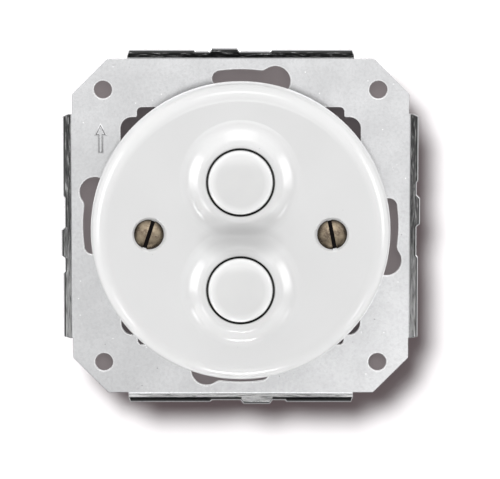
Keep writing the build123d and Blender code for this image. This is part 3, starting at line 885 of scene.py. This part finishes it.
@dataclass
class MountingPlate:
    """Stamped plate with the arrow that shows which way up it goes.

    Attributes:
        nodes: CAD nodes of the plate.
        face: Height of the plate's front from the wall, in millimetres.
        tip: Place of the arrow's tip: x and z.
        head: Half width and height of the arrow's head.
        shaft: Half width and length of its shaft.
        line: Half width of the stamped line from the groove's bottom to the outside of its lips.
        lip: How far the lips stand up.
        sunk: How deep the piece reaches into the plate.
        steps: Points across the line.
        groove_shade: Strength of the painted shade at the groove's bottom, and how fast it falls off towards
            the lips.
    """

    nodes: tuple[str, ...] = ("mounting_plate",)
    face: float = 0.8
    tip: Pair = (-28.0, 20.3)
    head: Pair = (0.9, 1.8)
    shaft: Pair = (0.31, 3.5)
    line: float = 0.24
    lip: float = 0.05
    sunk: float = 0.05
    steps: int = 17
    groove_shade: Pair = (1.2, 2.4)

    def outline(self) -> np.ndarray:
        """The arrow's outline.

        Returns:
            Its corners as rows of x and z in millimetres, clockwise from the tip.
        """
        (wide, high), (half, long) = self.head, self.shaft
        right = np.array([(wide, -high), (half, -high), (half, -high - long)])
        left = right[::-1] * (-1, 1)
        return np.concatenate([[(0.0, 0.0)], right, left]) + self.tip

    def arrow(self, finishes: Finishes) -> bpy.types.Object:
        """The stamped outline: a groove between two raised lips.

        Across the line, with s from -1 to 1, the height is the lip's times sin(pi |s|) squared.

        Args:
            finishes: Gives the material.

        Returns:
            The piece.
        """
        share = np.linspace(-1.0, 1.0, self.steps)
        height = self.lip * np.sin(np.pi * np.abs(share)) ** 2
        foot = np.array([(self.line, -self.sunk), (-self.line, -self.sunk)])
        profile = np.concatenate([np.stack([share * self.line, height], axis=1), foot])
        piece = carried("plate_arrow", self.outline(), profile, self.face)
        # painted shade along the groove's bottom, stored in the groove attribute
        groove_shaded = np.clip(self.groove_shade[0] - self.groove_shade[1] * np.abs(share), 0.0, 1.0)
        around = np.concatenate([groove_shaded, np.zeros(len(foot))])
        groove = piece.data.attributes.new("groove", "FLOAT", "POINT")
        groove.data.foreach_set("value", np.tile(around, len(self.outline())))
        finishes.dress(piece, finishes.STAMP.material())
        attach(piece, "switch_body")
        return piece

    def build(self, finishes: Finishes) -> None:
        """Dresses the plate and adds its arrow."""
        finishes.dress_nodes(self.nodes)
        LOG.info("made %s", self.arrow(finishes).name)


@dataclass
class PorcelainCover:
    """Round cover with its two screws and the inserts that take them."""

    nodes: tuple[str, ...] = ("porcelain_cover", "cover_screws", "cover_inserts")

    def build(self, finishes: Finishes) -> None:
        """Dresses the cover's pieces."""
        finishes.dress_nodes(self.nodes)


@dataclass
class PushButton:
    """One button with the pieces that move with it and its spring.

    Attributes:
        row: Upper or lower, as the nodes' names begin.
        parts: How the nodes' names end.
        travel: How far the button goes in, in millimetres; not used.
        wire: Diameter of the spring's wire.
        turns: Turns of the spring.
        closed: Turns at each end that lie flat.
        facets: Steps of a turn, and of the wire's round section.
    """

    row: str
    parts: tuple[str, ...] = ("button", "plunger", "bridge", "bridge_tips", "retainer")
    travel: float = 2.0
    wire: float = 0.68
    turns: float = 5.0
    closed: float = 0.6
    facets: tuple[int, int] = (48, 14)

    def coil(self, low: np.ndarray, high: np.ndarray) -> np.ndarray:
        """Points on the round wire of the return spring.

        The wire's centre is R (cos t, sin t) round the button's axis, and its place along the axis runs
        evenly from end to end, apart from the closed turns. With e the direction from the axis and
        b = tangent x e, the surface is the centre + r (cos p e - sin p b).

        Args:
            low: Lowest corner of the box that the spring fills, in metres.
            high: Highest corner of that box.

        Returns:
            Rows along the wire, columns round it, each with x, y and z in metres.
        """
        half = self.wire / 2 * MM
        radius = (high[0] - low[0]) / 2 - half
        turn = np.linspace(0.0, self.turns, round(self.turns * self.facets[0]) + 1)
        share = np.clip((turn - self.closed) / (self.turns - 2 * self.closed), 0.0, 1.0)
        angle = 2 * np.pi * turn
        outward = np.stack([np.cos(angle), np.zeros_like(angle), np.sin(angle)], axis=1)
        centre = outward * radius + (low + high) / 2
        centre[:, 1] = high[1] - half - share * (high[1] - low[1] - 2 * half)
        tangent = np.gradient(centre, axis=0)
        across = np.cross(tangent, outward)
        across /= np.linalg.norm(across, axis=1, keepdims=True)
        phase = np.linspace(0.0, 2 * np.pi, self.facets[1], endpoint=False)[None, :, None]
        ring = np.cos(phase) * outward[:, None, :] - np.sin(phase) * across[:, None, :]
        return centre[:, None, :] + half * ring

    def spring(self, finishes: Finishes) -> bpy.types.Object:
        """The return spring, which stands on its rear end; this piece keeps its shape as the button goes in.

        Args:
            finishes: Gives the material.

        Returns:
            The piece.
        """
        node = f"{self.row}_return_spring"
        low, high = (np.array(corner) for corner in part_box(node))
        piece = skinned(f"{self.row}_spring_coil", self.coil(low, high), looped=False)
        finishes.dress(piece, finishes.made["spring_steel"])
        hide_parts(node)
        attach(piece, "switch_body")
        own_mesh(piece)
        return piece

    def build(self, finishes: Finishes) -> None:
        """Dresses the button's pieces and adds its spring."""
        finishes.dress_nodes([f"{self.row}_{part}" for part in self.parts])
        LOG.info("made %s", self.spring(finishes).name)


@dataclass
class SwitchBlock:
    """Mouldings behind the plate with their terminals and screws."""

    nodes: tuple[str, ...] = (
        "switch_carrier", "terminal_base", "base_screws", "upper_left_terminal", "upper_right_terminal",
        "lower_left_terminal", "lower_right_terminal", "terminal_tips", "clamp_plates", "terminal_screws",
    )

    def build(self, finishes: Finishes) -> None:
        """Dresses the block's pieces."""
        finishes.dress_nodes(self.nodes)


@dataclass(frozen=True)
class SoftBox:
    """A rectangular soft box that points at the switch and fades towards its edges.

    Attributes:
        name: Name of the lamp.
        place: Place in metres.
        size: Width and height in metres.
        power: Watts.
        lit: What it lights.
        PEAK: Factor that keeps the power as it is when the box fades.
    """

    PEAK: ClassVar[float] = 6.0
    name: str
    place: Triple
    size: Pair
    power: float
    lit: Lit = Lit.SWITCH

    def hang(self, receivers: Sequence[bpy.types.Object]) -> None:
        """Makes the lamp.

        Args:
            receivers: The objects that it lights.
        """
        light = bpy.data.lights.new(self.name, "AREA")
        light.shape = "RECTANGLE"
        light.size, light.size_y = self.size
        light.energy = self.power
        self.fade(light)
        lamp = placed(self.name, light)
        lamp.location = self.place
        lamp.rotation_mode = "QUATERNION"
        lamp.rotation_quaternion = (-Vector(self.place)).to_track_quat("-Z", "Y")
        lit = bpy.data.collections.new(self.name + "_lights")
        for receiver in receivers:
            lit.objects.link(receiver)
        lamp.light_linking.receiver_collection = lit
        lamp.visible_camera = False

    def fade(self, light: bpy.types.Light) -> None:
        """Makes the box brightest in its middle: 6 t (1 - t) across its width, and again down its height.

        Args:
            light: The lamp's data.
        """
        light.use_nodes = True
        sketch = NodeSketch(light.node_tree)
        across = sketch.add("ShaderNodeNewGeometry").outputs["Parametric"]
        parts = sketch.add("ShaderNodeSeparateXYZ", {"Vector": across}).outputs
        humps = []
        for side in ("X", "Y"):
            rest = sketch.inverse(parts[side])
            humps.append(sketch.product(parts[side], rest, self.PEAK))
        glow = sketch.add("ShaderNodeEmission", {"Strength": sketch.product(*humps)})
        sketch.add("ShaderNodeOutputLight", {"Surface": glow.outputs[0]})


@dataclass
class Studio:
    """Stage, lights and camera of the photograph.

    Attributes:
        distance: From the camera to the point it looks at, in millimetres.
        elevation: Height of the camera above the switch, in degrees.
        view_width: Width of the picture at the plate, in millimetres.
        aim: The point at the picture's centre, in millimetres.
        sensor: Width of the camera's sensor, in millimetres.
        clip: Nearest and farthest distance that the camera sees, in metres.
        backdrop: Half side of the backdrop and how far it stands behind the wall plane.
        paper: Linear colour of the backdrop.
        paper_warmth: Linear glow of the backdrop, which warms the shadow.
        tent: Brightness of the tent in front, from straight below (0) to straight above (1).
        tent_strength: Strength that the tent's tones are multiplied by.
        sides: Tone of the tent at the sides.
        sides_from: Share of sideways direction at which that tone sets in and is full.
        rear: Tones of the room behind as a light, below and above.
        rear_from: Share of rearward direction at which those tones set in and are full.
        rear_split: Share of upward direction between which they change.
        floor_from: Share of upward direction under which the room behind isn't mirrored, and over which it is
            mirrored in full.
        glazed: The pieces that some boxes light by themselves.
        boxes: The soft boxes.
        card: Half side, corner cut and distance behind the wall plane of the shade card.
        card_middle: How far from the middle the card's darker part, painted shade of the box inside, reaches,
            and half the width of its edge.
        card_shade_tones: Linear colours of the card's middle and border, painted shade that shows in the
            plate's openings.
    """

    distance: float = 850.0
    elevation: float = 7.5
    view_width: float = 100.25
    aim: Triple = (1.87, -0.8, -2.63)
    sensor: float = 36.0
    clip: Pair = (0.01, 20.0)
    backdrop: Pair = (190.0, 20.6)
    paper: Colour = (0.14, 0.139, 0.14)
    paper_warmth: Colour = (0.052, 0.030, 0.033)
    tent: tuple[Pair, ...] = (
        (0.0, 0.005), (0.05, 0.01), (0.14, 0.08), (0.275, 0.50), (0.40, 0.73), (0.50, 0.95),
        (0.625, 0.98), (0.75, 0.92), (0.875, 0.85), (1.0, 0.85),
    )
    tent_strength: float = 1.27
    sides: Colour = (0.15, 0.15, 0.15)
    sides_from: Pair = (0.5, 0.85)
    rear: tuple[Colour, Colour] = ((0.46, 0.46, 0.46), (0.04, 0.04, 0.04))
    rear_from: Pair = (0.0, 0.2)
    rear_split: Pair = (-0.1, 0.1)
    floor_from: Pair = (-0.9, -0.5)
    glazed: tuple[str, ...] = ("porcelain_cover", "upper_button", "lower_button", "cover_screws")
    boxes: tuple[SoftBox, ...] = (
        SoftBox("top_box", (0.0, -0.05, 0.65), (0.60, 0.30), 0.85, Lit.COVER),
        SoftBox("left_box", (-0.85, 0.03, 0.12), (0.52, 0.76), 3.4, Lit.COVER),
        SoftBox("right_box", (0.85, 0.03, 0.12), (0.52, 0.76), 3.0, Lit.COVER),
        SoftBox("low_left_box", (-0.62, -0.20, -0.52), (0.28, 0.28), 0.9, Lit.COVER),
        SoftBox("low_right_box", (0.62, -0.20, -0.52), (0.28, 0.28), 0.6, Lit.COVER),
        SoftBox("low_box", (0.0, -0.06, -0.78), (0.46, 0.06), 2.4, Lit.COVER),
        SoftBox("low_front_box", (0.0, -0.50, -0.62), (0.50, 0.30), 0.4, Lit.COVER),
        SoftBox("front_box", (0.0, -0.98, 0.22), (0.60, 0.40), 0.7),
        SoftBox("plate_box", (0.15, -0.85, -0.23), (0.12, 0.12), 0.15, Lit.BACK),
        SoftBox("rear_left_box", (-0.60, 0.75, 0.40), (0.50, 0.50), 3.0, Lit.BACK),
        SoftBox("rear_right_box", (0.60, 0.75, 0.40), (0.50, 0.50), 2.0, Lit.BACK),
        SoftBox("sheet_box", (-0.16, -1.0, 0.335), (0.34, 0.34), 95.0, Lit.SHEET),
    )
    card: Triple = (33.0, 8.0, 1.0)
    card_middle: Pair = (26.0, 0.4)
    card_shade_tones: tuple[Colour, Colour] = ((0.16, 0.14, 0.145), (0.33, 0.29, 0.295))

    def camera(self) -> None:
        """Looks at the plate from the front and slightly above."""
        lens = bpy.data.cameras.new("camera")
        lens.sensor_width = self.sensor
        lens.lens = self.sensor * self.distance / self.view_width
        lens.clip_start, lens.clip_end = self.clip
        camera = placed("camera", lens)
        target = Vector(self.aim) * MM
        slope = radians(self.elevation)
        back = Vector((0, -cos(slope), sin(slope)))
        camera.location = target + back * self.distance * MM
        camera.rotation_mode = "QUATERNION"
        camera.rotation_quaternion = (-back).to_track_quat("-Z", "Y")
        bpy.context.scene.camera = camera

    def lights(self, sheet: bpy.types.Object) -> None:
        """Hangs the soft boxes round the switch.

        Args:
            sheet: The backdrop.
        """
        pieces = [piece for piece in bpy.data.objects if piece.type == "MESH" and piece is not sheet]
        groups = {
            Lit.SWITCH: pieces,
            Lit.COVER: [piece for piece in pieces if piece.name in self.glazed],
            Lit.BACK: [piece for piece in pieces if piece.name not in self.glazed],
            Lit.SHEET: [sheet],
        }
        for box in self.boxes:
            box.hang(groups[box.lit])
            LOG.info("hung %s", box.name)

    def world(self) -> None:
        """A tent that is brightest level with the switch, dark straight below and dim at the sides.

        To the camera it is white all round. Behind the switch it is dim as a light, but white in reflections,
        apart from those that point to the floor.
        """
        room = bpy.data.worlds.new("room")
        bpy.context.scene.world = room
        room.use_nodes = True
        sketch = NodeSketch(room.node_tree)
        rays = sketch.add("ShaderNodeLightPath").outputs
        parts = sketch.add("ShaderNodeSeparateXYZ", {"Vector": sketch.place(Coordinates.GENERATED)}).outputs
        height = sketch.remap(parts["Z"], 0.0, 1.0, -1.0, 1.0)
        tent = sketch.ramp(height, [(place, (tone, tone, tone)) for place, tone in self.tent])
        aside = sketch.remap(sketch.math("ABSOLUTE", parts["X"]), 0.0, 1.0, *self.sides_from)
        sided = sketch.blend(aside, tent, self.sides)
        rear = sketch.remap(parts["Y"], 0.0, 1.0, *self.rear_from)
        above = sketch.remap(parts["Z"], 0.0, 1.0, *self.rear_split)
        backed = sketch.blend(rear, sided, sketch.blend(above, *self.rear))
        mirrored = sketch.math("MAXIMUM", rays[RayKind.GLOSSY.value], rays[RayKind.TRANSMISSION.value])
        level = sketch.product(rear, sketch.remap(parts["Z"], 0.0, 1.0, *self.floor_from))
        shown = sketch.math("MAXIMUM", rays[RayKind.CAMERA.value], sketch.product(mirrored, level))
        light = sketch.add("ShaderNodeBackground", {"Color": backed, "Strength": self.tent_strength})
        white = sketch.add("ShaderNodeBackground", {"Color": (1.0, 1.0, 1.0, 1.0), "Strength": 1.0})
        mixed = sketch.add("ShaderNodeMixShader", {0: shown, 1: light.outputs[0], 2: white.outputs[0]})
        sketch.add("ShaderNodeOutputWorld", {"Surface": mixed.outputs[0]})

    def backdrop_sheet(self) -> bpy.types.Object:
        """A pale sheet behind the switch that takes its shadow and is seen only from the front.

        Returns:
            The sheet.
        """
        half, depth = (size * MM for size in self.backdrop)
        corners = [(-half, depth, -half), (half, depth, -half), (half, depth, half), (-half, depth, half)]
        mesh = bpy.data.meshes.new("backdrop")
        mesh.from_pydata(corners, [], [(0, 1, 2, 3)])
        sheet = placed("backdrop", mesh)
        made, sketch = new_material("backdrop_paper")
        seen = sketch.add("ShaderNodeLightPath").outputs[RayKind.CAMERA.value]
        behind = sketch.add("ShaderNodeNewGeometry").outputs["Backfacing"]
        shown = sketch.product(seen, sketch.inverse(behind))
        paper = sketch.add("ShaderNodeBsdfDiffuse", {"Color": (*self.paper, 1.0)})
        warmth = sketch.add("ShaderNodeEmission", {"Color": (*self.paper_warmth, 1.0), "Strength": 1.0})
        toned = sketch.add("ShaderNodeAddShader", {0: paper.outputs[0], 1: warmth.outputs[0]})
        clear = sketch.add("ShaderNodeBsdfTransparent")
        mixed = sketch.add("ShaderNodeMixShader", {0: shown, 1: clear.outputs[0], 2: toned.outputs[0]})
        sketch.add("ShaderNodeOutputMaterial", {"Surface": mixed.outputs[0]})
        mesh.materials.append(made)
        return sheet

    def shade_card(self) -> None:
        """A grey card just behind the plate that shows in its openings as painted shade, darker in the
        middle, and keeps light off the sheet there.

        It is there for the camera in front and for light that comes up to it from behind, and for
        nothing else. Each of its corners is cut off.
        """
        half, cut, depth = self.card
        outline = np.array([(half, half - cut), (half - cut, half)])
        turns = [np.array([(cos(a), -sin(a)), (sin(a), cos(a))]) for a in np.radians((0, 90, 180, 270))]
        flat = np.concatenate([outline @ turn.T for turn in turns])
        points = np.insert(flat, 1, depth, axis=1) * MM
        mesh = bpy.data.meshes.new("shade_card")
        mesh.from_pydata(points.tolist(), [], [tuple(range(len(points)))])
        card = placed("shade_card", mesh)
        card.visible_glossy = card.visible_transmission = False
        made, sketch = new_material("grey_card")
        seen = sketch.add("ShaderNodeLightPath").outputs[RayKind.CAMERA.value]
        behind = sketch.add("ShaderNodeNewGeometry").outputs["Backfacing"]
        there = sketch.math("ABSOLUTE", sketch.math("SUBTRACT", seen, behind))
        axes = sketch.axes()
        out = sketch.math("MAXIMUM", *(sketch.math("ABSOLUTE", axes[side]) for side in "XZ"))
        middle, fade = self.card_middle
        outer = sketch.reach(out, middle - fade, middle + fade)
        # painted shade seen through the plate's openings, darker in the middle
        grey = sketch.add("ShaderNodeBsdfDiffuse", {"Color": sketch.blend(outer, *self.card_shade_tones)})
        clear = sketch.add("ShaderNodeBsdfTransparent")
        mixed = sketch.add("ShaderNodeMixShader", {0: there, 1: clear.outputs[0], 2: grey.outputs[0]})
        sketch.add("ShaderNodeOutputMaterial", {"Surface": mixed.outputs[0]})
        mesh.materials.append(made)

    def build(self) -> None:
        """Sets up the whole stage."""
        bpy.context.scene.view_settings.view_transform = "Standard"
        self.world()
        self.lights(self.backdrop_sheet())
        self.shade_card()
        self.camera()


def main() -> None:
    """Builds the sub-assemblies in order and sets the stage."""
    logging.basicConfig(level=logging.INFO, format="%(name)s: %(message)s")
    finishes = Finishes()
    groups = (MountingPlate(), SwitchBlock(), PushButton("upper"), PushButton("lower"), PorcelainCover())
    for group in groups:
        group.build(finishes)
    Studio().build()


if __name__ == "__main__":
    main()
